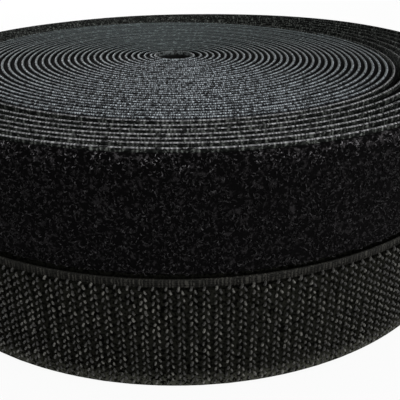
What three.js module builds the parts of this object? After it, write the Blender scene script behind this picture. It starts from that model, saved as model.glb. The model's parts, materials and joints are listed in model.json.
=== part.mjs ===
// A pair of coreless rolls of hook and loop tape, the loop roll lying on the hook roll.
// Each roll is one long woven tape wound on itself around an open eye. Units are millimetres, +Z is up.

import * as THREE from 'three';

// The tape: a woven web with hooks or loops standing on its outer face, between two plain selvedges.
const TAPE_WIDTH = 25.4;
const WEB_THICKNESS = 0.7;
const FACE_HEIGHT = 1.0;
const SELVEDGE = 1.6;

// Clearance between layers of one roll and between the two rolls.
const SEAT_GAP = 0.3;
const STACK_GAP = 0.3;

// The winding: slack left between turns where the tape lies tight and where it lies loose.
const TIGHT_SLACK = 0.02;
const LOOSE_SLACK = 0.83;
const TIGHT_LOOPS = 17;
const LOOSE_LOOPS = 6;
const HOOK_INNER_TURNS = 15;
const LOOP_INNER_TURNS = 14;

// The open eye, whose axis is shared by the tight turns of both rolls, and the middle of each outer turn.
const EYE_RADIUS = 4.7;
const EYE_X = -2.6;
const EYE_Y = -3.92;
const HOOK_CENTRE_X = -0.56;
const HOOK_CENTRE_Y = -0.58;
const LOOP_CENTRE_X = 0.29;
const LOOP_CENTRE_Y = -0.58;

// The tight turns of the loop roll stand proud of its loose outer turns.
const LOOP_RISE = 0.3;
const RISE_RUN = 0.5;

// The free end of each tape and the direction of the line where it leaves the roll.
const TAIL_LENGTH = 65;
const HOOK_PEEL_DEGREES = 75;
const LOOP_PEEL_DEGREES = 35;

// Facets per turn of tape and around the eye.
const STEPS_PER_LOOP = 22;
const EYE_SEGMENTS = 22;

const TIGHT_PITCH = WEB_THICKNESS + FACE_HEIGHT + TIGHT_SLACK;
const LOOSE_PITCH = WEB_THICKNESS + SEAT_GAP + FACE_HEIGHT + LOOSE_SLACK;
const WOUND_LOOPS = TIGHT_LOOPS + LOOSE_LOOPS;
const FACE_INNER = WEB_THICKNESS + SEAT_GAP;
const FACE_OUTER = FACE_INNER + FACE_HEIGHT;
const FULL_TURN = 2 * Math.PI;

const WEB_BLACK = 0x2c2d2f;
const HOOK_BLACK = 0x1d1c1c;
const PILE_BLACK = 0x121113;

const hookRoll = {
  name: 'hook',
  face: 'field',
  centre: new THREE.Vector2(HOOK_CENTRE_X, HOOK_CENTRE_Y),
  innerTurns: HOOK_INNER_TURNS,
  base: 0,
  rise: 0,
  peel: THREE.MathUtils.degToRad(HOOK_PEEL_DEGREES),
  faceColour: HOOK_BLACK,
};

const loopRoll = {
  name: 'loop',
  face: 'pile',
  centre: new THREE.Vector2(LOOP_CENTRE_X, LOOP_CENTRE_Y),
  innerTurns: LOOP_INNER_TURNS,
  base: TAPE_WIDTH + STACK_GAP,
  rise: LOOP_RISE,
  peel: THREE.MathUtils.degToRad(LOOP_PEEL_DEGREES),
  faceColour: PILE_BLACK,
};

const eye = new THREE.Vector2(EYE_X, EYE_Y);

// Radius of the web's inner face, where turn 0 starts the wound strip and WOUND_LOOPS is the peel line. The
// eye's radius is that of the innermost turn halfway along, so half a pitch lies between it and the next turn.
function webRadius(roll, turn) {
  const start = EYE_RADIUS + (0.5 + roll.innerTurns) * TIGHT_PITCH;
  const tight = Math.min(turn, TIGHT_LOOPS);
  const loose = Math.max(turn - TIGHT_LOOPS, 0);
  return start + tight * TIGHT_PITCH + loose * LOOSE_PITCH;
}

// A point on the winding, set off outwards from the web's inner face. The tight turns lie round the eye's
// axis, and the loose ones drift from there to the middle of the outer turn.
function windingPoint(roll, turn, offset) {
  const drift = THREE.MathUtils.clamp((turn - TIGHT_LOOPS) / LOOSE_LOOPS, 0, 1);
  const angle = roll.peel + (turn - WOUND_LOOPS) * FULL_TURN;
  const radius = webRadius(roll, turn) + offset;
  const middle = eye.clone().lerp(roll.centre, drift);
  return new THREE.Vector2(middle.x + radius * Math.cos(angle), middle.y + radius * Math.sin(angle));
}

// How far the tape's lower edge stands above the roll's base on a given turn.
function edgeRise(roll, turn) {
  const settled = THREE.MathUtils.smoothstep(turn, TIGHT_LOOPS - RISE_RUN, TIGHT_LOOPS + RISE_RUN);
  return roll.rise * (1 - settled);
}

// The share of a turn that a length of tape covers at a given turn.
function turnsIn(roll, length, turn) {
  return length / (FULL_TURN * webRadius(roll, turn));
}

// Turn values from one end of a strip to the other, on the facet lines that all layers share.
function stations(from, to) {
  const turns = [from];
  const first = Math.floor(from * STEPS_PER_LOOP) + 1;
  const last = Math.ceil(to * STEPS_PER_LOOP) - 1;
  for (let step = first; step <= last; step += 1) {
    turns.push(step / STEPS_PER_LOOP);
  }
  turns.push(to);
  return turns;
}

// A closed strip of tape along the winding, between two offsets and two heights above the edge.
function stripGeometry(roll, from, to, inner, outer, low, high) {
  const positions = [];
  const triangles = [];
  const turns = stations(from, to);
  for (const turn of turns) {
    const near = windingPoint(roll, turn, inner);
    const far = windingPoint(roll, turn, outer);
    const edge = roll.base + edgeRise(roll, turn);
    positions.push(near.x, near.y, edge + low);
    positions.push(far.x, far.y, edge + low);
    positions.push(far.x, far.y, edge + high);
    positions.push(near.x, near.y, edge + high);
  }
  const lastStart = (turns.length - 1) * 4;
  for (let start = 0; start < lastStart; start += 4) {
    for (let corner = 0; corner < 4; corner += 1) {
      const next = (corner + 1) % 4;
      triangles.push(start + corner, start + 4 + corner, start + 4 + next);
      triangles.push(start + corner, start + 4 + next, start + next);
    }
  }
  triangles.push(0, 1, 2, 0, 2, 3);
  triangles.push(lastStart, lastStart + 2, lastStart + 1, lastStart, lastStart + 3, lastStart + 2);
  const geometry = new THREE.BufferGeometry();
  geometry.setAttribute('position', new THREE.Float32BufferAttribute(positions, 3));
  geometry.setIndex(triangles);
  geometry.computeVertexNormals();
  return geometry;
}

// An upright plate with a round hole on the eye's axis, as tall as the tape is wide.
function boredPlate(shape, holeRadius) {
  const hole = new THREE.Path();
  hole.absarc(eye.x, eye.y, holeRadius, 0, FULL_TURN, true);
  shape.holes.push(hole);
  return new THREE.ExtrudeGeometry(shape, {
    depth: TAPE_WIDTH,
    bevelEnabled: false,
    curveSegments: EYE_SEGMENTS,
  });
}

// The innermost turn, which lines the eye.
function eyeGeometry() {
  const shape = new THREE.Shape();
  shape.absarc(eye.x, eye.y, EYE_RADIUS + TIGHT_PITCH - SEAT_GAP, 0, FULL_TURN, false);
  return boredPlate(shape, EYE_RADIUS);
}

// The pressed inner turns as one body, with a spiral outline that steps where the wound strip starts.
function innerTurnsGeometry(roll) {
  const outline = stations(0, 1).map((turn) => windingPoint(roll, turn, -SEAT_GAP));
  return boredPlate(new THREE.Shape(outline), EYE_RADIUS + TIGHT_PITCH);
}

// Distance from a point to the straight facet between two neighbouring points.
function distanceToFacet(point, start, end) {
  const along = end.clone().sub(start);
  const share = THREE.MathUtils.clamp(point.clone().sub(start).dot(along) / along.lengthSq(), 0, 1);
  return point.distanceTo(start.clone().addScaledVector(along, share));
}

// The least gap between the web's outer face and the inner face of the turn that lies over it.
function leastGap(roll) {
  const inner = stations(0, WOUND_LOOPS).map((turn) => windingPoint(roll, turn, 0));
  const outer = stations(0, WOUND_LOOPS).map((turn) => windingPoint(roll, turn, WEB_THICKNESS));
  let least = Infinity;
  for (let step = 0; step + STEPS_PER_LOOP + 1 < inner.length; step += 1) {
    const over = step + STEPS_PER_LOOP;
    least = Math.min(least, distanceToFacet(outer[step], inner[over], inner[over + 1]));
    least = Math.min(least, distanceToFacet(inner[over], outer[step], outer[step + 1]));
  }
  return least;
}

function piece(name, geometry, colour, roughness) {
  const material = new THREE.MeshStandardMaterial({ color: colour, roughness, metalness: 0 });
  const mesh = new THREE.Mesh(geometry, material);
  mesh.name = name;
  return mesh;
}

function bored(name, geometry, roll) {
  const mesh = piece(name, geometry, WEB_BLACK, 0.8);
  mesh.position.z = roll.base + roll.rise;
  return mesh;
}

// One roll: eye, inner turns, wound web, the face of the outer turn, and the free end with its face.
function buildRoll(roll) {
  const end = WOUND_LOOPS;
  const tip = end + turnsIn(roll, TAIL_LENGTH, end);
  const startGap = turnsIn(roll, SEAT_GAP, 0);
  const endGap = turnsIn(roll, SEAT_GAP / 2, end);
  const faceLow = SELVEDGE;
  const faceHigh = TAPE_WIDTH - SELVEDGE;
  const web = stripGeometry(roll, startGap, end - endGap, 0, WEB_THICKNESS, 0, TAPE_WIDTH);
  const face = stripGeometry(roll, end - 1, end - endGap, FACE_INNER, FACE_OUTER, faceLow, faceHigh);
  const tailWeb = stripGeometry(roll, end + endGap, tip, 0, WEB_THICKNESS, 0, TAPE_WIDTH);
  const tailFace = stripGeometry(roll, end + endGap, tip, FACE_INNER, FACE_OUTER, faceLow, faceHigh);
  const group = new THREE.Group();
  group.add(bored(`${roll.name}_eye`, eyeGeometry(), roll));
  group.add(bored(`${roll.name}_inner_turns`, innerTurnsGeometry(roll), roll));
  group.add(piece(`${roll.name}_web_turns`, web, WEB_BLACK, 0.8));
  group.add(piece(`${roll.name}_${roll.face}`, face, roll.faceColour, 0.95));
  group.add(piece(`${roll.name}_tail_web`, tailWeb, WEB_BLACK, 0.8));
  group.add(piece(`${roll.name}_tail_${roll.face}`, tailFace, roll.faceColour, 0.95));
  console.log(`${roll.name} roll: least gap between turns ${leastGap(roll).toFixed(2)} mm`);
  return group;
}

const part = new THREE.Group();
part.add(buildRoll(hookRoll));
part.add(buildRoll(loopRoll));

export default part;
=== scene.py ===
# %% [markdown]
# # A pair of hook and loop tape rolls
# Two black tapes are wound on themselves with no core and laid one on the other. The upper tape carries
# soft loops, the lower one stiff hooks. The plan is to model each tape flat, as it leaves the loom, and
# then to wind it: an Array modifier gives the length and a Curve modifier bends it round a spiral.

# %% Load the frame
import json
import math

import bpy
import numpy as np
from mathutils import Matrix, Vector


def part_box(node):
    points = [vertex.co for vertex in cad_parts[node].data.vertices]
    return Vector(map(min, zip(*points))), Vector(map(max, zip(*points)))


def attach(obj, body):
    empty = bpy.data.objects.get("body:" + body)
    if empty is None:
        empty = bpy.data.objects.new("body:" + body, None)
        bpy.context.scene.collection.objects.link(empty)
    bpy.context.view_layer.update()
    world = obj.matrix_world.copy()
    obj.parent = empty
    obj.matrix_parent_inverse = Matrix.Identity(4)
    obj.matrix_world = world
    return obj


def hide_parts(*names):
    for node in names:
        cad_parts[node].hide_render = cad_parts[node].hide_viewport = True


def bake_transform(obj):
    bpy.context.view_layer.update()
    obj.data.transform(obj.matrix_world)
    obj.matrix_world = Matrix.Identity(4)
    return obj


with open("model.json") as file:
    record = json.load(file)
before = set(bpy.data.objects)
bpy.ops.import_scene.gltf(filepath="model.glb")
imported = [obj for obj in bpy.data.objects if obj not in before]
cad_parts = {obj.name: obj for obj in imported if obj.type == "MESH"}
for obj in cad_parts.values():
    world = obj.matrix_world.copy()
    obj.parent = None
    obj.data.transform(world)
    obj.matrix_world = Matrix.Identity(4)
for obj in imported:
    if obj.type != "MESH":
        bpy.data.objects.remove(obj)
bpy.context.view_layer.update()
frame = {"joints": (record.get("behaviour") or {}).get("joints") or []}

MM = 0.001
FULL_TURN = 2 * math.pi

# %% [markdown]
# ## The two rolls
# Each roll is one long tape. The frame says where it stands, how wide the tape is and where the eye is.
# Only what a box can't tell is written here: how many turns there are, counted from the eye outwards, and
# the middle of the outermost turn, which isn't quite over the eye.

# %% Facts of the two rolls
WEB = 0.7 * MM
WOUND_TURNS = 23
LOOSE_TURNS = 6
HOOK_INNER_TURNS = 15
LOOP_INNER_TURNS = 14
HOOK_CENTRE = (-0.56 * MM, -0.58 * MM)
LOOP_CENTRE = (0.29 * MM, -0.58 * MM)

low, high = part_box("hook_tail_web")
TAPE_WIDTH = high.z - low.z


def roll_facts(name, inner_turns, centre):
    """Where a roll stands, from its CAD nodes, with its middle and how many turns it has."""
    eye_low, eye_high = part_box(name + "_eye")
    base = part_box(name + "_tail_web")[0].z
    joint = next(j for j in frame["joints"] if j["name"] == name + "_end_peel")
    end = 1 + inner_turns + WOUND_TURNS
    return {
        "name": name,
        "eye": np.array((eye_low + eye_high)[:2]) / 2,
        "centre": np.array(centre),
        "loose": end - LOOSE_TURNS,
        "end": end,
        "base": base,
        "rise": eye_low.z - base,
        "peel": math.atan2(joint["pos_m"][1] - centre[1], joint["pos_m"][0] - centre[0]),
    }


HOOK_ROLL = roll_facts("hook", HOOK_INNER_TURNS, HOOK_CENTRE)
LOOP_ROLL = roll_facts("loop", LOOP_INNER_TURNS, LOOP_CENTRE)
for roll in (HOOK_ROLL, LOOP_ROLL):
    print(roll["name"], "roll: base", round(roll["base"] / MM, 2), "mm, turns", roll["end"])

# %% [markdown]
# ## The camera
# The picture was taken from close by, a little above the rolls, with strong perspective. A camera can be
# set by eye, but then the rings don't line up. So its place, tilt and lens were solved from the rim, the
# seam and the bottom edge, and are written here as they came out.

# %% Camera
CAMERA_PLACE = Vector((0.79, -168.25, 85.76)) * MM
CAMERA_DOWN = math.radians(25.875)
CAMERA_TURN = 0.0219
CAMERA_ROLL = -0.004
CAMERA_LENS = 52.24

camera = bpy.data.objects.new("camera", bpy.data.cameras.new("camera"))
bpy.context.scene.collection.objects.link(camera)
camera.data.lens = CAMERA_LENS
camera.data.sensor_width = 36
camera.data.clip_start = 0.005
turned = Matrix.Rotation(-CAMERA_TURN, 4, "Z")
tipped = Matrix.Rotation(math.pi / 2 - CAMERA_DOWN, 4, "X")
rolled = Matrix.Rotation(CAMERA_ROLL, 4, "Z")
camera.matrix_world = Matrix.Translation(CAMERA_PLACE) @ turned @ tipped @ rolled
bpy.context.scene.camera = camera
print("camera:", [round(v / MM, 1) for v in camera.location], "mm")

# %% [markdown]
# ## Nodes in code
# The world, the floor and every finish are built from nodes. In the shader editor each is added, set and
# joined up by hand. Three helpers do that here, so the cells below say only what goes into what.


# %% Node helpers
def node(tree, kind, **settings):
    """A new node with its settings, such as operation."""
    made = tree.nodes.new(kind)
    for name, value in settings.items():
        setattr(made, name, value)
    return made


def math_node(tree, operation, first, second=None):
    """A Math node on sockets or plain numbers, returning its output."""
    made = node(tree, "ShaderNodeMath", operation=operation)
    for place, value in enumerate((first, second)):
        if isinstance(value, (int, float)):
            made.inputs[place].default_value = value
        elif value is not None:
            tree.links.new(value, made.inputs[place])
    return made.outputs[0]


def map_range(tree, value, start, end, low=0.0, high=1.0, **settings):
    """A Map Range node that takes a socket from start and end to low and high, returning its output."""
    made = node(tree, "ShaderNodeMapRange", **settings)
    for label, number in zip(("From Min", "From Max", "To Min", "To Max"), (start, end, low, high)):
        made.inputs[label].default_value = number
    tree.links.new(value, made.inputs["Value"])
    return made.outputs["Result"]


# %% [markdown]
# ## World and floor
# Everything round the rolls is white. A bright world gives that at once, but it washes black cloth out.
# So the world is white for the camera and for reflections, and dimmer as a light. The floor is pale and
# glows white too, but not under the rolls, where it is left as a painted shadow, so the eye and the gaps
# between the slack turns stay dark.

# %% White world
WORLD_FILL = 0.22
WHITE = (1, 1, 1, 1)


def seen_directly(tree):
    """A mask that is 1 for what the camera sees, straight on, in a gloss or through a clear piece."""
    rays = node(tree, "ShaderNodeLightPath").outputs
    either = math_node(tree, "MAXIMUM", rays["Is Camera Ray"], rays["Is Glossy Ray"])
    return math_node(tree, "MAXIMUM", either, rays["Is Transmission Ray"])


def mix_shaders(tree, mask, first, second):
    """A Mix Shader node between two shader nodes, returning its output."""
    made = node(tree, "ShaderNodeMixShader")
    tree.links.new(mask, made.inputs["Fac"])
    tree.links.new(first.outputs[0], made.inputs[1])
    tree.links.new(second.outputs[0], made.inputs[2])
    return made.outputs[0]


world = bpy.data.worlds.new("white studio")
bpy.context.scene.world = world
world.use_nodes = True
sky = world.node_tree
fill = sky.nodes["Background"]
fill.inputs["Color"].default_value = WHITE
fill.inputs["Strength"].default_value = WORLD_FILL
white = node(sky, "ShaderNodeBackground")
white.inputs["Color"].default_value = WHITE
sky_light = mix_shaders(sky, seen_directly(sky), fill, white)
sky.links.new(sky_light, sky.nodes["World Output"].inputs["Surface"])
bpy.context.scene.view_settings.view_transform = "Standard"
print("world: fill light", WORLD_FILL)

# %% Pale floor
FLOOR_SPAN = 6.0
FLOOR_DROP = 0.2 * MM
FLOOR_GREY = (0.86, 0.86, 0.86, 1)
FLOOR_GLOW = 0.93
FLOOR_SHADE = (75 * MM, 77 * MM)

floor_paint = bpy.data.materials.new("pale floor")
floor_paint.use_nodes = True
tree = floor_paint.node_tree
matt = tree.nodes["Principled BSDF"]
matt.inputs["Base Color"].default_value = FLOOR_GREY
matt.inputs["Roughness"].default_value = 0.9
glow = node(tree, "ShaderNodeEmission")
glow.inputs["Color"].default_value = WHITE
# Within FLOOR_SHADE of the middle the glow fades out: a painted shadow under the rolls.
reach = node(tree, "ShaderNodeVectorMath", operation="LENGTH")
tree.links.new(node(tree, "ShaderNodeTexCoord").outputs["Object"], reach.inputs[0])
clear = map_range(tree, reach.outputs["Value"], *FLOOR_SHADE, high=FLOOR_GLOW)
share = math_node(tree, "MULTIPLY", seen_directly(tree), clear)
floor_light = mix_shaders(tree, share, matt, glow)
tree.links.new(floor_light, tree.nodes["Material Output"].inputs["Surface"])

bpy.ops.object.select_all(action="DESELECT")
bpy.ops.mesh.primitive_plane_add(size=FLOOR_SPAN, location=(0, 0, -FLOOR_DROP))
floor = bpy.context.object
floor.name = "floor"
floor.data.materials.append(floor_paint)
print("floor:", FLOOR_SPAN, "m across")

# %% [markdown]
# ## The lamps
# Black cloth shows only where light grazes it, and one hard lamp would leave most of it lost. So there are
# four soft ones. One overhead and one at the back draw the edges of the turns, a smaller one near the
# front picks out the weave there, and a low one at the right keeps the sides readable.


# %% Lamps
def soft_lamp(name, place, size, watts):
    """A square lamp that faces the middle of the stack."""
    lamp = bpy.data.objects.new(name, bpy.data.lights.new(name, "AREA"))
    bpy.context.scene.collection.objects.link(lamp)
    lamp.data.size = size
    lamp.data.energy = watts
    lamp.location = place
    aim = Vector((0, 0, TAPE_WIDTH)) - lamp.location
    lamp.rotation_euler = aim.to_track_quat("-Z", "Y").to_euler()
    return lamp


lamps = [
    soft_lamp("overhead", (-0.10, 0.08, 0.72), size=0.5, watts=1.15),
    soft_lamp("back_strip", (-0.20, 0.85, 0.40), size=0.5, watts=4.0),
    soft_lamp("front_key", (0.14, -0.46, 0.26), size=0.25, watts=1.35),
    soft_lamp("side_fill", (0.85, -0.35, 0.12), size=0.4, watts=4.5),
]
print("lamps:", [lamp.name for lamp in lamps])

# %% [markdown]
# ## Shared surface effects
# Both webs are woven, and everything here is fine fibre. Each material could hold its own copy of such a
# pattern, but then a change has to be made many times, so two effects are made once as node groups. Weave
# turns the tape's own map (metres along, metres across) into the over and under of a plain weave. Fibre
# breaks any surface into short streaks of light and dark.


# %% An empty group
def new_group(name, inputs, outputs):
    """An empty shader group with named sockets, and its two end nodes."""
    group = bpy.data.node_groups.new(name, "ShaderNodeTree")
    for label, kind, value in inputs:
        socket = group.interface.new_socket(label, in_out="INPUT", socket_type=kind)
        if value is not None:
            socket.default_value = value
    for label, kind in outputs:
        group.interface.new_socket(label, in_out="OUTPUT", socket_type=kind)
    return group, group.nodes.new("NodeGroupInput"), group.nodes.new("NodeGroupOutput")


# %% Weave group
STRAY_PICKS = 2.0
STRAY_SCALE = 0.4
YARN_DIP = 0.4
BEAD_SHARPNESS = 3
DULLEST_BEAD = 0.45


def weave_group():
    """A plain weave: its height, and the beads of yarn that turn back at each weft pick."""
    group, given, result = new_group(
        "tape weave",
        [
            ("Map", "NodeSocketVector", None),
            ("Pick", "NodeSocketFloat", 0.95 * MM),
            ("End", "NodeSocketFloat", 0.45 * MM),
        ],
        [("Height", "NodeSocketFloat"), ("Bead", "NodeSocketFloat")],
    )
    split = node(group, "ShaderNodeSeparateXYZ")
    group.links.new(given.outputs["Map"], split.inputs[0])
    even = math_node(group, "DIVIDE", split.outputs["X"], given.outputs["Pick"])
    stray = node(group, "ShaderNodeTexNoise", noise_dimensions="1D")
    stray.inputs["Scale"].default_value = STRAY_SCALE
    group.links.new(even, stray.inputs["W"])
    picks = math_node(group, "ADD", even, math_node(group, "MULTIPLY", stray.outputs["Fac"], STRAY_PICKS))
    ends = math_node(group, "DIVIDE", split.outputs["Y"], given.outputs["End"])
    rib = math_node(group, "ABSOLUTE", math_node(group, "SINE", math_node(group, "MULTIPLY", ends, math.pi)))
    phase = math_node(group, "MULTIPLY", math_node(group, "FLOOR", ends), math.pi)
    swing = math_node(group, "ADD", math_node(group, "MULTIPLY", picks, FULL_TURN), phase)
    dip = math_node(group, "MULTIPLY", math_node(group, "COSINE", swing), YARN_DIP)
    height = math_node(group, "MULTIPLY", rib, math_node(group, "ADD", dip, 1 - YARN_DIP))
    wave = math_node(group, "SINE", math_node(group, "MULTIPLY", picks, math.pi))
    bead = math_node(group, "POWER", math_node(group, "ABSOLUTE", wave), BEAD_SHARPNESS)
    number = node(group, "ShaderNodeTexWhiteNoise", noise_dimensions="1D")
    group.links.new(math_node(group, "FLOOR", picks), number.inputs["W"])
    spread = math_node(group, "MULTIPLY", number.outputs["Value"], 1 - DULLEST_BEAD)
    uneven = math_node(group, "ADD", spread, DULLEST_BEAD)
    group.links.new(height, result.inputs["Height"])
    group.links.new(math_node(group, "MULTIPLY", bead, uneven), result.inputs["Bead"])
    return group


WEAVE = weave_group()
print("node group:", WEAVE.name)

# %% Fibre group
BARE_LEVEL = 0.72
COVER_REACH = 0.4
FLECK_SOFTNESS = 0.16


def fibre_group():
    """A streaky noise for yarn: Streak for height, Fleck for the fibres that catch the light."""
    group, given, result = new_group(
        "yarn fibre",
        [
            ("Map", "NodeSocketVector", None),
            ("Scale", "NodeSocketFloat", 1500.0),
            ("Cover", "NodeSocketFloat", 0.5),
        ],
        [("Streak", "NodeSocketFloat"), ("Fleck", "NodeSocketFloat")],
    )
    fine = node(group, "ShaderNodeTexNoise", noise_dimensions="3D")
    fine.inputs["Detail"].default_value = 3
    fine.inputs["Roughness"].default_value = 0.65
    group.links.new(given.outputs["Map"], fine.inputs["Vector"])
    group.links.new(given.outputs["Scale"], fine.inputs["Scale"])
    fleck = node(group, "ShaderNodeMapRange", interpolation_type="SMOOTHSTEP")
    covered = math_node(group, "MULTIPLY", given.outputs["Cover"], COVER_REACH)
    level = math_node(group, "SUBTRACT", BARE_LEVEL, covered)
    group.links.new(level, fleck.inputs["From Min"])
    group.links.new(math_node(group, "ADD", level, FLECK_SOFTNESS), fleck.inputs["From Max"])
    group.links.new(fine.outputs["Fac"], fleck.inputs["Value"])
    group.links.new(fine.outputs["Fac"], result.inputs["Streak"])
    group.links.new(fleck.outputs["Result"], result.inputs["Fleck"])
    return group


FIBRE = fibre_group()
print("node group:", FIBRE.name)

# %% [markdown]
# ## The finishes
# Everything is black nylon, yet each layer takes light its own way. On the loop tape the edges show beads
# where the weft turns back, and their pale grey is painted sheen. The inside and the shoulder of an edge and
# the web of the slack turns carry a dimmer painted sheen, while the wall of the eye below its top and the
# pile deep in the roll and under it at the seam are painted shade. The flat of the web, the pile and the
# ground under the hooks swallow light, and the hooks glint at the crown. The pile is painted paler towards
# the top of the roll, and the hooks and their ground towards the floor, as painted light. One function
# makes them all, so they differ only in a few plain numbers.

# %% How a finish is made
STREAK_SHARE = 0.5
BUMP_STRENGTH = 0.8
BUMP_DEPTH = 0.1 * MM


def finish(name, dark, pale, cover, scale, rough, gloss, bead=0.0, pick=0.5 * MM, ramp=None):
    """A black nylon finish: dark yarn with paler flecks and beads, and a bump from weave and fibre.

    A ramp is two heights across the tape and the share of the flecks that shows below the first."""
    paint = bpy.data.materials.new(name)
    paint.use_nodes = True
    tree = paint.node_tree
    shader = tree.nodes["Principled BSDF"]
    shader.inputs["Roughness"].default_value = rough
    shader.inputs["Specular IOR Level"].default_value = gloss
    fibre = node(tree, "ShaderNodeGroup", node_tree=FIBRE)
    fibre.inputs["Scale"].default_value = scale
    fibre.inputs["Cover"].default_value = cover
    tree.links.new(node(tree, "ShaderNodeTexCoord").outputs["Object"], fibre.inputs["Map"])
    shown = fibre.outputs["Fleck"]
    height = math_node(tree, "MULTIPLY", fibre.outputs["Streak"], STREAK_SHARE)
    on_tape = node(tree, "ShaderNodeUVMap", uv_map="tape").outputs["UV"]
    # A ramp dims the flecks towards one edge of the tape: painted light and shade across it.
    if ramp:
        split = node(tree, "ShaderNodeSeparateXYZ")
        tree.links.new(on_tape, split.inputs[0])
        shade = map_range(tree, split.outputs["Y"], *ramp, interpolation_type="SMOOTHSTEP")
        shown = math_node(tree, "MULTIPLY", shown, shade)
    if bead:
        weave = node(tree, "ShaderNodeGroup", node_tree=WEAVE)
        weave.inputs["Pick"].default_value = pick
        tree.links.new(on_tape, weave.inputs["Map"])
        beaded = math_node(tree, "MULTIPLY", weave.outputs["Bead"], bead)
        shown = math_node(tree, "MULTIPLY", shown, math_node(tree, "ADD", beaded, 1 - bead))
        height = math_node(tree, "ADD", height, weave.outputs["Height"])
    tone = node(tree, "ShaderNodeMix", data_type="RGBA")
    tone.inputs["A"].default_value = (*dark, 1)
    tone.inputs["B"].default_value = (*pale, 1)
    tree.links.new(shown, tone.inputs["Factor"])
    tree.links.new(tone.outputs["Result"], shader.inputs["Base Color"])
    bump = node(tree, "ShaderNodeBump")
    bump.inputs["Strength"].default_value = BUMP_STRENGTH
    bump.inputs["Distance"].default_value = BUMP_DEPTH
    tree.links.new(height, bump.inputs["Height"])
    tree.links.new(bump.outputs["Normal"], shader.inputs["Normal"])
    return paint


# %% Finishes of the loop tape
# The edge of the tight turns: beads of the weft, with pale grey painted sheen on the black nylon.
LOOP_EDGE_SHEEN = finish(
    "loop tape edge with painted sheen", (0.006, 0.0066, 0.0075), (0.59, 0.65, 0.70),
    cover=0.78, scale=1500, rough=0.55, gloss=0.07, bead=0.85, pick=0.5 * MM,
)
# A dimmer copy of the edge for the facets that face the eye: weaker painted sheen.
LOOP_INSIDE_DIM_SHEEN = finish(
    "inside of the loop edge with dimmer painted sheen", (0.053, 0.064, 0.065), (0.155, 0.183, 0.186),
    cover=0.5, scale=900, rough=0.6, gloss=0.04,
)
# A dimmer copy of the edge paint for the steep facet and the strip above the band: weaker painted sheen.
LOOP_SHOULDER_DIM_SHEEN = finish(
    "shoulder of the loop edge with dimmer painted sheen", (0.005, 0.0055, 0.006), (0.15, 0.165, 0.176),
    cover=0.7, scale=1500, rough=0.6, gloss=0.025, bead=0.85, pick=0.5 * MM,
)
# The edge of the slack turns: beads of the weft, with pale grey painted sheen on them.
LOOP_RIM_SHEEN = finish(
    "loop rim edge with painted sheen", (0.006, 0.0062, 0.0065), (0.42, 0.42, 0.432),
    cover=0.9, scale=900, rough=0.55, gloss=0.03, bead=0.75, pick=0.87 * MM,
)
LOOP_WEB = finish(
    "loop web nylon", (0.003, 0.0033, 0.0032), (0.03, 0.033, 0.032),
    cover=0.55, scale=1300, rough=0.6, gloss=0.022,
)
# The web of the slack turns: a dimmer copy of the rim paint, painted sheen paler than the flat of the web.
LOOP_SLACK_DIM_SHEEN = finish(
    "loop web of the slack turns with dimmer painted sheen", (0.005, 0.0056, 0.0052), (0.16, 0.172, 0.158),
    cover=0.65, scale=1300, rough=0.6, gloss=0.01, bead=0.9, pick=0.87 * MM,
)
# Round the eye only the top of the wall keeps its flecks; below it the wall is painted shade.
LOOP_EYE_SHADED = finish(
    "loop web round the eye in painted shade below the top", (0.003, 0.0032, 0.0032), (0.10, 0.11, 0.11),
    cover=0.85, scale=1200, rough=0.6, gloss=0.05,
    ramp=(TAPE_WIDTH - 1.4 * MM, TAPE_WIDTH - 0.7 * MM, 0.01),
)
# The pile is painted paler towards the top of the roll: painted light.
PILE = finish(
    "loop pile", (0.0015, 0.0014, 0.0015), (0.05, 0.047, 0.049),
    cover=0.5, scale=1000, rough=0.9, gloss=0.02,
    ramp=(TAPE_WIDTH - 2.5 * MM, TAPE_WIDTH + 0.8 * MM, 0.25),
)
# A darker copy of the pile for the band deep in the roll, round the eye and under the roll at the seam:
# painted shade.
PILE_SHADED = finish(
    "pile in painted shade", (0.001, 0.001, 0.001), (0.008, 0.0075, 0.008),
    cover=0.5, scale=1000, rough=0.9, gloss=0.008,
)
# The strands too are painted paler towards the top of the roll: painted light.
STRAND = finish(
    "pile strand", (0.005, 0.0047, 0.005), (0.19, 0.182, 0.19),
    cover=0.55, scale=1200, rough=0.5, gloss=0.08,
    ramp=(TAPE_WIDTH - 4 * MM, TAPE_WIDTH + 1.5 * MM, 0.13),
)
loop_finishes = (
    LOOP_EDGE_SHEEN, LOOP_INSIDE_DIM_SHEEN, LOOP_SHOULDER_DIM_SHEEN, LOOP_RIM_SHEEN, LOOP_WEB, LOOP_SLACK_DIM_SHEEN, LOOP_EYE_SHADED,
    PILE, PILE_SHADED, STRAND,
)
print("loop finishes:", [paint.name for paint in loop_finishes])

# %% Finishes of the hook tape
HOOK_EDGE = finish(
    "hook tape edge", (0.006, 0.006, 0.005), (0.055, 0.054, 0.045),
    cover=0.6, scale=1300, rough=0.6, gloss=0.08, bead=0.9, pick=0.6 * MM,
)
HOOK_WEB = finish(
    "hook web nylon", (0.003, 0.003, 0.0025), (0.037, 0.036, 0.031),
    cover=0.9, scale=1300, rough=0.6, gloss=0.06, bead=0.97, pick=0.75 * MM,
)
# The dark between the hooks, painted paler towards the bottom of the tape as light from the floor. It also
# serves as painted shade on inward facets of the hook roll.
GROUND = finish(
    "hook ground", (0.001, 0.001, 0.0008), (0.055, 0.056, 0.045),
    cover=0.8, scale=1800, rough=0.9, gloss=0.0,
    ramp=(6.2 * MM, 2.2 * MM, 0.14),
)
# The hooks too are painted paler towards the bottom of the tape, as light from the floor.
HOOKS = finish(
    "hook monofilament", (0.023, 0.0226, 0.021), (0.121, 0.118, 0.106),
    cover=0.6, scale=500, rough=0.4, gloss=0.2,
    ramp=(6 * MM, 2.5 * MM, 0.7),
)
print("hook finishes:", [paint.name for paint in (HOOK_EDGE, HOOK_WEB, GROUND, HOOKS)])

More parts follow.
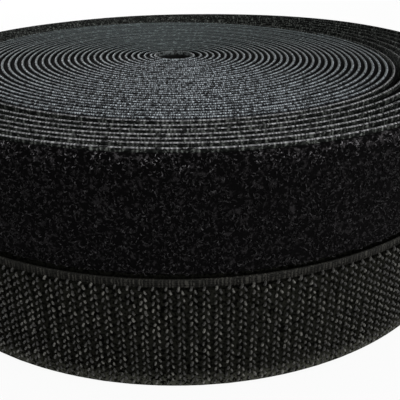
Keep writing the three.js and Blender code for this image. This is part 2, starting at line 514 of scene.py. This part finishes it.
# %% [markdown]
# ## The winding
# The innermost turn is a ring sprung open in the eye, and the loop roll has room to turn about it. The
# rest of a roll is one spiral, which starts on the eye's axis, drifts to the middle of the outer turn and
# lies looser towards the outside. Stacked rings would be simpler, but real tape never closes on itself.
# Nor is a hand-wound roll perfect: each turn stands a little higher or lower than its neighbour, the core
# of the loop roll leans, and its slack turns ride up at the back. A poly curve through this path is what
# the flat tape will follow.

# %% Path of a roll
TIGHT_PITCH = 1.72 * MM
LOOSE_PITCH = 2.83 * MM
EYE_RADIUS = 4.7 * MM
RING_RADIUS = 5.1 * MM
SIDE_WANDER = 0.05 * MM
SIDE_SEED = 11
EDGE_SEED = 23
KNOTS_PER_TURN = 3
RISE_RUN = 0.5
RIDE_TURN = -0.25
RIDE_LEAST = -0.28
RIDE_RUN = 0.14
HOOK_ROLL.update(wander=0.08 * MM, tilt=0.0, ride=0.0, sink=0.0)
LOOP_ROLL.update(wander=0.14 * MM, tilt=0.008, ride=0.7 * MM, sink=0.5 * MM)


def smooth(share):
    """An ease from 0 to 1 for shares that run from below 0 to above 1."""
    share = np.clip(share, 0, 1)
    return share * share * (3 - 2 * share)


def wander(turns, size, seed):
    """A smooth seeded wobble along the tape, between 0 and size."""
    rng = np.random.default_rng(seed)
    knots = rng.random(math.ceil(turns.max() * KNOTS_PER_TURN) + 2)
    at = turns * KNOTS_PER_TURN
    first = np.floor(at).astype(int)
    ease = smooth(at - first)
    return size * (knots[first] * (1 - ease) + knots[first + 1] * ease)


def web_radius(roll, turns):
    """Radius of the web's inner face: a ring on the innermost turn, and then the spiral."""
    tight = np.minimum(turns, roll["loose"]) - 0.5
    loose = np.maximum(turns - roll["loose"], 0)
    return np.where(turns < 1, RING_RADIUS, EYE_RADIUS + tight * TIGHT_PITCH + loose * LOOSE_PITCH)


def path_points(roll, turns):
    """Points of the spiral path, one row each, for an array of turns."""
    drift = np.clip((turns - roll["loose"]) / LOOSE_TURNS, 0, 1)
    middle = roll["eye"] + drift[:, None] * (roll["centre"] - roll["eye"])
    angle = roll["peel"] + (turns - roll["end"]) * FULL_TURN
    radius = web_radius(roll, turns) + wander(turns, SIDE_WANDER, SIDE_SEED)
    flat = middle + radius[:, None] * np.stack((np.cos(angle), np.sin(angle)), 1)
    core = 1 - smooth((turns - roll["loose"] + RISE_RUN) / (2 * RISE_RUN))
    slope = roll["tilt"] * (roll["eye"][0] - flat[:, 0])
    back = np.maximum(np.cos(angle - roll["peel"] - RIDE_TURN), RIDE_LEAST)
    ride = roll["ride"] * drift * back - roll["sink"] * smooth((turns - roll["end"]) / RIDE_RUN)
    height = roll["base"] + core * (roll["rise"] + slope) + ride + wander(turns, roll["wander"], EDGE_SEED)
    return np.column_stack((flat, height))


# %% Curves along the paths
POINTS_PER_TURN = 96
EYE_TURN = 0.998
SPIRAL_START = 1.3
TAIL_LENGTH = 65 * MM


def spiral(roll, start, end):
    """A curve along the path, with the turns at its points and the tape's length up to each of them."""
    turns = np.linspace(start, end, math.ceil((end - start) * POINTS_PER_TURN) + 1)
    points = path_points(roll, turns)
    steps = np.linalg.norm(np.diff(points, axis=0), axis=1)
    data = bpy.data.curves.new(roll["name"] + "_path", "CURVE")
    data.dimensions = "3D"
    data.twist_mode = "Z_UP"
    line = data.splines.new("POLY")
    line.points.add(len(points) - 1)
    line.points.foreach_set("co", np.column_stack((points, np.ones(len(points)))).ravel())
    curve = bpy.data.objects.new(data.name, data)
    bpy.context.scene.collection.objects.link(curve)
    return {"curve": curve, "turns": turns, "along": np.concatenate(((0,), np.cumsum(steps)))}


def along_at(path, turn):
    """Length of tape from the path's start to a turn."""
    return float(np.interp(turn, path["turns"], path["along"]))


def turns_in(roll, length):
    """The share of a turn that a length of tape covers where its free end starts."""
    radius = web_radius(roll, np.array([roll["end"]]))[0]
    return length / (FULL_TURN * float(radius))


paths = {}
for roll in (HOOK_ROLL, LOOP_ROLL):
    roll["tip"] = roll["end"] + turns_in(roll, TAIL_LENGTH)
    paths[roll["name"]] = spiral(roll, SPIRAL_START, roll["tip"])
    paths[roll["name"] + "_eye"] = spiral(roll, 0, EYE_TURN)
    print(roll["name"], "tape:", round(paths[roll["name"]]["along"][-1], 2), "m wound")

# %% [markdown]
# ## A short piece of flat tape
# The tape's section is the same all along: a thin web with rounded edges and a raised band of pile or
# hooks. Drawing metres of it would be slow, so it is modelled once, as short as one step of the bend. A
# box is bevelled along its length, its outer face is cut near the two edges, and the band between the
# cuts is drawn out and rounded off. Six paints are then given out, by where a face lies and which way
# it leans.


# %% Selecting in code
def make_active(piece):
    """Leaves edit mode, with a single object selected and active."""
    if bpy.context.mode != "OBJECT":
        bpy.ops.object.mode_set(mode="OBJECT")
    bpy.ops.object.select_all(action="DESELECT")
    piece.select_set(True)
    bpy.context.view_layer.objects.active = piece


def select_where(piece, kind, wanted):
    """Enters edit mode with only those faces or edges selected for which wanted holds."""
    make_active(piece)
    bpy.ops.object.mode_set(mode="EDIT")
    bpy.ops.mesh.select_mode(type=kind)
    bpy.ops.mesh.select_all(action="DESELECT")
    bpy.ops.object.mode_set(mode="OBJECT")
    for item in piece.data.polygons if kind == "FACE" else piece.data.edges:
        item.select = wanted(item)
    bpy.ops.object.mode_set(mode="EDIT")


# %% Which paint a face takes
# A lean is the Y of a face's normal: -1 looks away from the eye, 1 towards it.
EDGE_PAINT, WEB_PAINT, BAND_PAINT, INSIDE_PAINT, SHOULDER_PAINT, LOWER_PAINT = range(6)
ROUNDED = 0.3
INSIDE_LEAN = 0.1
LOWER_LEAN = 0.5
STEEP_LEAN = 0.8
RIM_LEAN = 0.2
BAND_START = 1.01
TIGHT_WRAP = (-STEEP_LEAN, INSIDE_LEAN)
LOOSE_WRAP = (-STEEP_LEAN, -RIM_LEAN)


# The lean picks lit and shaded copies of a paint: on the loop tape the facets within the wrap take the
# edge's painted sheen and the inside and shoulder a dimmer one; on the hook tape the inside takes painted
# shade.
def paint_slot(face, bottom, top, wrap):
    """Which of its six paints a face of the flat section takes.

    The beaded edge paint goes on the rounded facets whose normal has its Y within wrap. The inside is the
    facets that face the turn within, and the shoulder the steep facet and the strip of face between the
    edge and the band. The lower paint goes below the band."""
    lean = face.normal.y
    rounded = abs(face.normal.z) > ROUNDED
    if lean < -LOWER_LEAN and face.center.z < bottom:
        return LOWER_PAINT
    if face.center.y < -WEB * BAND_START:
        return BAND_PAINT
    if rounded and wrap[0] < lean < wrap[1]:
        return EDGE_PAINT
    if rounded and lean > INSIDE_LEAN:
        return INSIDE_PAINT
    if lean < -STEEP_LEAN and face.center.z > top:
        return SHOULDER_PAINT
    return WEB_PAINT


# %% Flat section
EDGE_ROUND = 0.48
BAND_ROUND = 0.35
CROWN_START = 0.99
STRAIGHT = 0.99


def flat_section(name, step, band, margins, wrap, paints):
    """One step of tape lying along X, with its face towards -Y and its width along Z."""
    bpy.ops.object.select_all(action="DESELECT")
    bpy.ops.mesh.primitive_cube_add(size=1)
    section = bpy.context.object
    section.name = name
    section.data.name = name
    section.scale = (step, WEB, TAPE_WIDTH)
    section.location = (step / 2, -WEB / 2, TAPE_WIDTH / 2)
    bpy.ops.object.transform_apply(location=True, rotation=True, scale=True)
    spots = section.data.vertices
    select_where(section, "EDGE", lambda e: spots[e.vertices[0]].co.x != spots[e.vertices[1]].co.x)
    bpy.ops.mesh.bevel(offset=WEB * EDGE_ROUND, segments=3, affect="EDGES")
    bottom, top = margins[0], TAPE_WIDTH - margins[1]
    for cut in (bottom, top):
        select_where(section, "FACE", lambda f: f.normal.y < -STRAIGHT)
        bpy.ops.mesh.bisect(plane_co=(0, 0, cut), plane_no=(0, 0, 1))
    select_where(section, "FACE", lambda f: f.normal.y < -STRAIGHT and bottom < f.center.z < top)
    bpy.ops.mesh.extrude_region_move(TRANSFORM_OT_translate={"value": (0, -band, 0)})
    spots = section.data.vertices
    crown = -WEB - band * CROWN_START
    select_where(section, "EDGE", lambda e: all(spots[i].co.y < crown for i in e.vertices)
                 and spots[e.vertices[0]].co.x != spots[e.vertices[1]].co.x)
    bpy.ops.mesh.bevel(offset=band * BAND_ROUND, segments=2, affect="EDGES")
    select_where(section, "FACE", lambda f: abs(f.normal.x) > STRAIGHT)
    bpy.ops.mesh.delete(type="ONLY_FACE")
    bpy.ops.object.mode_set(mode="OBJECT")
    for paint in paints:
        section.data.materials.append(paint)
    for face in section.data.polygons:
        face.material_index = paint_slot(face, bottom, top, wrap)
    return section


# %% [markdown]
# ## Winding the tape
# On the real roll the tape is flat until it is wound, and the model is made in the same order. An Array
# modifier repeats the step for the length of a stretch, and the two cut ends are filled. The map is laid
# while the tape is still flat, in metres along and across, so the weave follows the winding. Then a Curve
# modifier bends the stretch round the spiral, starting at the length where it belongs.


# %% Winding helpers
def apply(piece, kind, **settings):
    """Adds a modifier, sets it and applies it."""
    make_active(piece)
    modifier = piece.modifiers.new(kind.lower(), kind)
    for name, value in settings.items():
        setattr(modifier, name, value)
    bpy.ops.object.modifier_apply(modifier=modifier.name)


def map_flat(piece):
    """The tape's own map: metres along the tape, and metres across and round its section."""
    mesh = piece.data
    spots = np.empty(len(mesh.vertices) * 3, np.float32)
    mesh.vertices.foreach_get("co", spots)
    corners = np.empty(len(mesh.loops), np.int32)
    mesh.loops.foreach_get("vertex_index", corners)
    spots = spots.reshape(-1, 3)[corners]
    while mesh.uv_layers:
        mesh.uv_layers.remove(mesh.uv_layers[0])
    layer = mesh.uv_layers.new(name="tape")
    layer.data.foreach_set("uv", np.column_stack((spots[:, 0], spots[:, 2] - spots[:, 1])).ravel())


def wind(piece, path):
    """Bends a flat piece round a spiral and smooths its shading."""
    map_flat(piece)
    apply(piece, "CURVE", object=path["curve"], deform_axis="POS_X")
    make_active(piece)
    bpy.ops.object.shade_smooth_by_angle(angle=math.radians(40))
    return piece


def tape_stretch(name, path, start, end, longest_step, band, margins, wrap, paints):
    """A stretch of tape between two turns, wound in place."""
    first, last = along_at(path, start), along_at(path, end)
    count = math.ceil((last - first) / longest_step)
    step = (last - first) / count
    piece = flat_section(name, step, band, margins, wrap, paints)
    apply(piece, "ARRAY", count=count, use_merge_vertices=True, merge_threshold=0.001 * MM)
    bpy.ops.object.mode_set(mode="EDIT")
    bpy.ops.mesh.select_all(action="SELECT")
    bpy.ops.mesh.fill_holes(sides=0)
    bpy.ops.transform.translate(value=(first, 0, 0))
    bpy.ops.object.mode_set(mode="OBJECT")
    return wind(piece, path)


# %% [markdown]
# ## The web of both rolls
# One tape could be a single mesh, but its stretches look and move differently, so each is its own piece:
# the ring in the eye, the tight turns, the slack ones, the outermost turn and the free end. Inside the
# roll the pile and the hooks hardly show, so a plain dark band stands for them there; on the loop tape its
# dark is painted shade. Only the outermost turn and the free end show their whole face, and get single
# hooks and loops further down.

# %% Paints of the stretches
# On the hook tape the ground paint on the inward facets, and inside the roll on the shoulder too, is painted
# shade.
HOOK_WITHIN_SHADED = (HOOK_EDGE, HOOK_WEB, GROUND, GROUND, GROUND, HOOK_EDGE)
HOOK_SHOWN = (HOOK_EDGE, HOOK_WEB, GROUND, GROUND, HOOK_WEB, HOOK_EDGE)
# The lower paint of the loop tape is the shaded pile: painted shade under the roll at the seam.
LOOP_SHOWN = (LOOP_RIM_SHEEN, LOOP_SLACK_DIM_SHEEN, PILE, LOOP_SLACK_DIM_SHEEN, LOOP_SLACK_DIM_SHEEN, PILE_SHADED)
HOOK_PAINTS = {
    "_eye_turn": HOOK_WITHIN_SHADED,
    "_tight_turns": HOOK_WITHIN_SHADED,
    "_loose_turns": HOOK_WITHIN_SHADED,
    "_outer_turn": HOOK_SHOWN,
    "_free_end": HOOK_SHOWN,
}
LOOP_PAINTS = {
    "_eye_turn": (LOOP_EDGE_SHEEN, LOOP_EYE_SHADED, PILE_SHADED, LOOP_EYE_SHADED, LOOP_SHOULDER_DIM_SHEEN, PILE_SHADED),
    "_tight_turns": (LOOP_EDGE_SHEEN, LOOP_WEB, PILE_SHADED, LOOP_INSIDE_DIM_SHEEN, LOOP_SHOULDER_DIM_SHEEN, PILE_SHADED),
    "_loose_turns": (LOOP_RIM_SHEEN, LOOP_SLACK_DIM_SHEEN, PILE_SHADED, LOOP_SLACK_DIM_SHEEN, LOOP_SLACK_DIM_SHEEN, PILE_SHADED),
    "_outer_turn": LOOP_SHOWN,
    "_free_end": LOOP_SHOWN,
}
print("stretches of each tape:", list(LOOP_PAINTS))

# %% Web of both rolls
BAND_IN_ROLL = 0.8 * MM
EYE_BAND = 0.12 * MM
PILE_BASE = 0.8 * MM
HOOK_BASE = 0.95 * MM
ROLL_MARGINS = (0.5 * MM, 0.5 * MM)
SLACK_MARGINS = (0.5 * MM, 1.1 * MM)
PILE_MARGINS = (0.6 * MM, 0.9 * MM)
HOOK_MARGINS = (0.1 * MM, 1.75 * MM)
FINE_STEP = 1.7 * MM
COARSE_STEP = 2.8 * MM
PEEL_LEAD = 14 * MM


def before_peel(roll):
    """The turn where the stretch that bends with the free end begins."""
    return roll["end"] - turns_in(roll, PEEL_LEAD)


webs = {}
for roll, paints, base, margins, step in (
    (HOOK_ROLL, HOOK_PAINTS, HOOK_BASE, HOOK_MARGINS, COARSE_STEP),
    (LOOP_ROLL, LOOP_PAINTS, PILE_BASE, PILE_MARGINS, FINE_STEP),
):
    name, path = roll["name"], paths[roll["name"]]
    slack, outer, lead = roll["loose"] - 1, roll["end"] - 1, before_peel(roll)
    stretches = (
        ("_eye_turn", paths[name + "_eye"], 0, EYE_TURN, EYE_BAND, ROLL_MARGINS, TIGHT_WRAP),
        ("_tight_turns", path, SPIRAL_START, slack, BAND_IN_ROLL, ROLL_MARGINS, TIGHT_WRAP),
        ("_loose_turns", path, slack, outer, BAND_IN_ROLL, SLACK_MARGINS, LOOSE_WRAP),
        ("_outer_turn", path, outer, lead, base, margins, LOOSE_WRAP),
        ("_free_end", path, lead, roll["tip"], base, margins, LOOSE_WRAP),
    )
    for part, line, start, end, height, edges, wrap in stretches:
        piece = tape_stretch(name + part, line, start, end, step, height, edges, wrap, paints[part])
        webs[piece.name] = piece
        print(piece.name, len(piece.data.polygons), "faces")

# %% [markdown]
# ## One hook
# A hook is a stiff monofilament that was woven as a loop and cut on one side. A bevelled curve would also
# give such a wire. But there are thousands of hooks, so one is modelled by hand, with as few faces as it
# needs: a small ring is drawn up into a leg, spun over into an arch and left with a short cut tip.

# %% One hook
HOOK_WIRE = 0.25 * MM
HOOK_LEG = 0.78 * MM
HOOK_ARCH = 0.33 * MM
HOOK_TIP = 0.10 * MM
HOOK_SIDES = 5
HOOK_BEND = math.radians(165)


def hook_model():
    """A single hook that stands on the XY plane, with its arch towards +X."""
    bpy.ops.object.select_all(action="DESELECT")
    bpy.ops.mesh.primitive_circle_add(vertices=HOOK_SIDES, radius=HOOK_WIRE, fill_type="NOTHING")
    hook = bpy.context.object
    bpy.ops.object.mode_set(mode="EDIT")
    bpy.ops.mesh.select_all(action="SELECT")
    bpy.ops.mesh.extrude_region_move(TRANSFORM_OT_translate={"value": (0, 0, HOOK_LEG)})
    bpy.ops.mesh.spin(steps=4, angle=-HOOK_BEND, center=(HOOK_ARCH, 0, HOOK_LEG), axis=(0, 1, 0))
    bpy.ops.mesh.extrude_region_move(TRANSFORM_OT_translate={"value": (0, 0, -HOOK_TIP)})
    bpy.ops.mesh.edge_face_add()
    bpy.ops.mesh.select_all(action="SELECT")
    bpy.ops.mesh.normals_make_consistent(inside=False)
    bpy.ops.object.mode_set(mode="OBJECT")
    return hook


HOOK = hook_model()
print("one hook:", round(HOOK.dimensions.z / MM, 2), "mm tall,", len(HOOK.data.polygons), "faces")

# %% [markdown]
# ## The field of hooks
# The loom sets the hooks in columns across the tape, every other column half a step higher and facing the
# other way. Two Array modifiers could repeat a hook, but all would be alike. Here each copy gets its own
# small slant, lean and size, and the field is laid on the flat tape and wound like the web.


# %% Copies of a small model
def copies(name, model, turns, places, paint):
    """A mesh of many copies of a model, each turned by its own 3x3 matrix and moved to its place."""
    spots = np.array([v.co for v in model.data.vertices])
    faces = [tuple(face.vertices) for face in model.data.polygons]
    moved = np.einsum("nij,vj->nvi", turns, spots) + places[:, None, :]
    starts = (np.arange(len(places)) * len(spots)).tolist()
    mesh = bpy.data.meshes.new(name)
    mesh.from_pydata(
        moved.reshape(-1, 3).tolist(),
        [],
        [tuple(i + start for i in face) for start in starts for face in faces],
    )
    mesh.materials.append(paint)
    piece = bpy.data.objects.new(name, mesh)
    bpy.context.scene.collection.objects.link(piece)
    return piece


def turned_about(axis, angles):
    """Rotation matrices about X, Y or Z, one for each angle."""
    first, second = [(1, 2), (2, 0), (0, 1)]["XYZ".index(axis)]
    made = np.tile(np.eye(3), (len(angles), 1, 1))
    made[:, first, first] = made[:, second, second] = np.cos(angles)
    made[:, first, second] = -np.sin(angles)
    made[:, second, first] = np.sin(angles)
    return made


# A model stands up along Z; on the flat tape up is -Y and its X runs across the tape.
STAND_ON_TAPE = np.array(((0, -1, 0), (0, 0, -1), (1, 0, 0)), float)

# %% Hook field
HOOK_COLUMN = 1.16 * MM
HOOK_ROW = 1.61 * MM
HOOK_BARE = 0.8 * MM
HOOK_SLANT = math.radians(22)
HOOK_LEAN = math.radians(4)
COLUMN_STRAY = 0.02 * MM
ROW_STRAY = 0.035 * MM
SLANT_STRAY = 0.1
SIZE_STRAY = 0.05
HOOK_SEED = 31


def hook_field(name, path, start, end, seed):
    """Staggered columns of hooks on the tape between two turns."""
    rng = np.random.default_rng(seed)
    first, last = along_at(path, start), along_at(path, end)
    columns = int((last - first) / HOOK_COLUMN)
    rows = math.ceil(TAPE_WIDTH / HOOK_ROW)
    column, row = [grid.ravel() for grid in np.meshgrid(np.arange(columns), np.arange(rows))]
    down = HOOK_MARGINS[1] + (row + 0.5 * (column % 2)) * HOOK_ROW
    on_tape = down < TAPE_WIDTH - HOOK_BARE
    column, down = column[on_tape], down[on_tape]
    count = len(column)
    along = first + (column + 0.5) * HOOK_COLUMN + rng.normal(0, COLUMN_STRAY, count)
    down = down + rng.normal(0, ROW_STRAY, count)
    side = np.where(column % 2 == 1, HOOK_SLANT, -HOOK_SLANT) + rng.normal(0, SLANT_STRAY, count)
    lean = rng.normal(0, HOOK_LEAN, count)
    size = rng.normal(1, SIZE_STRAY, count)
    turns = STAND_ON_TAPE @ turned_about("Z", side) @ turned_about("X", lean) * size[:, None, None]
    places = np.column_stack((along, np.full(count, -WEB), TAPE_WIDTH - down))
    return wind(copies(name, HOOK, turns, places, HOOKS), path)


lead = before_peel(HOOK_ROLL)
first_turn = HOOK_ROLL["end"] - 1
half = (first_turn + lead) / 2
hooks = {}
for seed, (name, start, end) in enumerate((
    ("hook_field_first_half", first_turn, half),
    ("hook_field_second_half", half, lead),
    ("hook_field_free_end", lead, HOOK_ROLL["tip"]),
), HOOK_SEED):
    hooks[name] = hook_field(name, paths["hook"], start, end, seed)
    print(name, len(hooks[name].data.polygons), "faces")

# %% [markdown]
# ## One loop
# The loop tape is napped: fine filaments are brushed up into a felt of open loops. Hair strands would be
# the usual way to make a felt, but they aren't a mesh that can be exported. So one loop is a thin arch,
# spun from a three-sided ring, which is light enough to be copied thousands of times.

# %% One loop
LOOP_WIRE = 0.10 * MM
LOOP_SPAN = 0.27 * MM
LOOP_SIDES = 3


def loop_model():
    """A thin arch that stands on the XY plane, about as tall as it is wide."""
    bpy.ops.object.select_all(action="DESELECT")
    bpy.ops.mesh.primitive_circle_add(
        vertices=LOOP_SIDES, radius=LOOP_WIRE, fill_type="NOTHING", location=(LOOP_SPAN, 0, 0))
    loop = bpy.context.object
    bpy.ops.object.transform_apply(location=True, rotation=True, scale=True)
    bpy.ops.object.mode_set(mode="EDIT")
    bpy.ops.mesh.select_all(action="SELECT")
    bpy.ops.mesh.spin(steps=4, angle=math.pi, center=(0, 0, 0), axis=(0, 1, 0))
    bpy.ops.mesh.select_all(action="SELECT")
    bpy.ops.mesh.normals_make_consistent(inside=False)
    bpy.ops.object.mode_set(mode="OBJECT")
    return loop


LOOP = loop_model()
print("one loop:", round(LOOP.dimensions.z / MM, 2), "mm tall,", len(LOOP.data.polygons), "faces")

# %% [markdown]
# ## The pile
# Brushed loops lie every way, low and tangled. A regular pattern would show at once as rows, so the loops
# are strewn by chance, with a fixed seed, over the dark band of the outermost turn. Each one is sunk a
# little into the band.

# %% Pile
LOOPS_PER_SQUARE_MM = 2.0
PILE_SINK = 0.1 * MM
LOOP_LEAN = math.radians(38)
LOOP_WIDENING = (0.6, 1.4)
LOOP_STRETCH = (0.9, 1.6)
PILE_SEED = 41


def pile(name, path, start, end, seed):
    """A felt of seeded loops on the tape between two turns."""
    rng = np.random.default_rng(seed)
    first, last = along_at(path, start), along_at(path, end)
    width = TAPE_WIDTH - sum(PILE_MARGINS)
    count = int((last - first) * width / MM**2 * LOOPS_PER_SQUARE_MM)
    along = rng.uniform(first, last, count)
    across = PILE_MARGINS[0] + rng.uniform(0, width, count)
    depth = np.full(count, PILE_SINK - WEB - PILE_BASE)
    turn = turned_about("Z", rng.uniform(0, FULL_TURN, count))
    lean = turned_about("X", rng.normal(0, LOOP_LEAN, count))
    size = np.zeros((count, 3, 3))
    size[:, 0, 0] = rng.uniform(*LOOP_WIDENING, count)
    size[:, 1, 1] = 1
    size[:, 2, 2] = rng.uniform(*LOOP_STRETCH, count)
    turns = STAND_ON_TAPE @ turn @ lean @ size
    return wind(copies(name, LOOP, turns, np.column_stack((along, depth, across)), STRAND), path)


lead = before_peel(LOOP_ROLL)
first_turn = LOOP_ROLL["end"] - 1
third = (lead - first_turn) / 3
piles = {}
for seed, (name, start, end) in enumerate((
    ("loop_pile_first_third", first_turn, first_turn + third),
    ("loop_pile_second_third", first_turn + third, first_turn + 2 * third),
    ("loop_pile_last_third", first_turn + 2 * third, lead),
    ("loop_pile_free_end", lead, LOOP_ROLL["tip"]),
), PILE_SEED):
    piles[name] = pile(name, paths["loop"], start, end, seed)
    print(name, len(piles[name].data.polygons), "faces")

# %% [markdown]
# ## Riding on the frame
# The pieces of the rolls ride on their bodies. A free end could turn on a hinge as a stiff flap, but tape
# bends: before the peel line it follows the roll, after it the tail, and between it turns smoothly. Here the
# free ends are only baked where they lie, on no body. The models of one hook and one loop and the paths
# were only tools, so they are removed.

# %% Ride and replace
for spare in (HOOK, LOOP, *(path["curve"] for path in paths.values())):
    bpy.data.objects.remove(spare)


def carry(piece, body, slot, *nodes):
    """Rides a piece on a body in place of CAD nodes."""
    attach(piece, body)
    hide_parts(*nodes)


def bend(piece, roll, node_name):
    """Bakes a free end in place and hides its CAD node. The path points on either side of the peel line are
    found, but the end is not bent and rides on no body.
    """
    reach = roll["end"] - before_peel(roll)
    turns = np.array((roll["end"] - reach, roll["end"] + reach))
    start, end = path_points(roll, turns)
    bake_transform(piece)
    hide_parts(node_name)


carry(webs["hook_eye_turn"], "hook_roll", "hook_web", "hook_eye")
carry(webs["hook_tight_turns"], "hook_roll", "hook_web", "hook_inner_turns")
carry(webs["hook_loose_turns"], "hook_roll", "hook_web", "hook_web_turns")
carry(webs["hook_outer_turn"], "hook_roll", "hook_web", "hook_web_turns")
carry(hooks["hook_field_first_half"], "hook_roll", "hooks", "hook_field")
carry(hooks["hook_field_second_half"], "hook_roll", "hooks", "hook_field")
bend(webs["hook_free_end"], HOOK_ROLL, "hook_tail_web")
bend(hooks["hook_field_free_end"], HOOK_ROLL, "hook_tail_field")

carry(webs["loop_eye_turn"], "loop_eye", "loop_web", "loop_eye")
carry(webs["loop_tight_turns"], "loop_roll", "loop_web", "loop_inner_turns")
carry(webs["loop_loose_turns"], "loop_roll", "loop_web", "loop_web_turns")
carry(webs["loop_outer_turn"], "loop_roll", "loop_web", "loop_web_turns")
for name in ("loop_pile_first_third", "loop_pile_second_third", "loop_pile_last_third"):
    carry(piles[name], "loop_roll", "loop_pile", "loop_pile")
bend(webs["loop_free_end"], LOOP_ROLL, "loop_tail_web")
bend(piles["loop_pile_free_end"], LOOP_ROLL, "loop_tail_pile")
print("pieces:", len(webs) + len(hooks) + len(piles))
